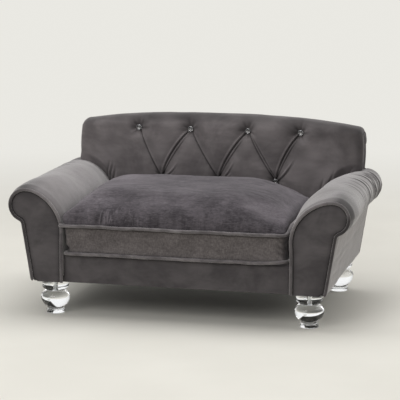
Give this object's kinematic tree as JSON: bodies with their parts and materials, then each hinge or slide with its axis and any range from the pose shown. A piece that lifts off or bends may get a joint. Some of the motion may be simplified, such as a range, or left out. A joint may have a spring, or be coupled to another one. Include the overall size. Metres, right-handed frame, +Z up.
{
  "type": "dog sofa bed",
  "caption": "Small upholstered pet sofa with scroll arms, a button-tufted rolled back, a loose boxed seat cushion with piping, and clear turned feet.",
  "frame": {"origin": "on the floor, under the middle of the whole sofa's bounding box", "axes": "+X to the right as seen from the front, the front faces -Y, +Z up"},
  "size_m": [0.84, 0.53, 0.447],
  "materials": {
    "plywood": "satin",
    "pine": "satin",
    "hardboard": "matte",
    "foam": "matte",
    "velvet": "matte",
    "piping_velvet": "matte",
    "plush": "matte",
    "fibre": "matte",
    "lining": "matte",
    "crystal": "polished",
    "acrylic": "polished",
    "bright_metal": "polished",
    "zinc_steel": "satin",
    "twine": "matte",
    "zip_plastic": "satin",
    "zip_metal": "satin"
  },
  "bodies": {
    "sofa": {"base_board": "plywood", "front_rail": "pine", "rear_rail": "pine", "left_side_rail": "pine", "right_side_rail": "pine", "centre_rail": "pine", "deck_board": "plywood", "back_board": "plywood", "left_arm_front_board": "plywood", "right_arm_front_board": "plywood", "left_arm_rear_board": "plywood", "right_arm_rear_board": "plywood", "left_arm_top_rail": "pine", "right_arm_top_rail": "pine", "left_arm_inner_sheet": "hardboard", "right_arm_inner_sheet": "hardboard", "left_arm_outer_sheet": "hardboard", "right_arm_outer_sheet": "hardboard", "left_arm_padding": "foam", "right_arm_padding": "foam", "back_padding": "foam", "back_roll_padding": "foam", "deck_padding": "foam", "front_rail_padding": "foam", "left_arm_cover": "velvet", "right_arm_cover": "velvet", "left_arm_facing": "velvet", "right_arm_facing": "velvet", "left_arm_piping": "piping_velvet", "right_arm_piping": "piping_velvet", "front_rail_cover": "velvet", "deck_cover": "lining", "inner_back_cover": "velvet", "left_back_gusset": "velvet", "right_back_gusset": "velvet", "outer_back_cover": "velvet", "dust_cover": "lining", "button_crystals": "crystal", "button_cups": "bright_metal", "button_ties": "twine", "front_left_foot": "acrylic", "front_right_foot": "acrylic", "rear_left_foot": "acrylic", "rear_right_foot": "acrylic", "foot_bolts": "zinc_steel", "tee_nuts": "zinc_steel", "frame_screws": "zinc_steel"},
    "cushion": {"cushion_cover": "plush", "cushion_fill": "fibre", "cushion_top_piping": "piping_velvet", "cushion_bottom_piping": "piping_velvet", "zip_tape": "lining", "zip_chain": "zip_plastic", "zip_stops": "zip_metal"},
    "zip_slider": {"zip_slider": "zip_metal"}
  },
  "joints": [
    {"name": "cushion_lift", "type": "slide", "parent": "sofa", "child": "cushion", "axis": [0, 0, 1], "range_m": [0, 0.3]},
    {"name": "zip_slide", "type": "slide", "parent": "cushion", "child": "zip_slider", "axis": [1, 0, 0], "range_m": [0, 0.4114]}
  ]
}
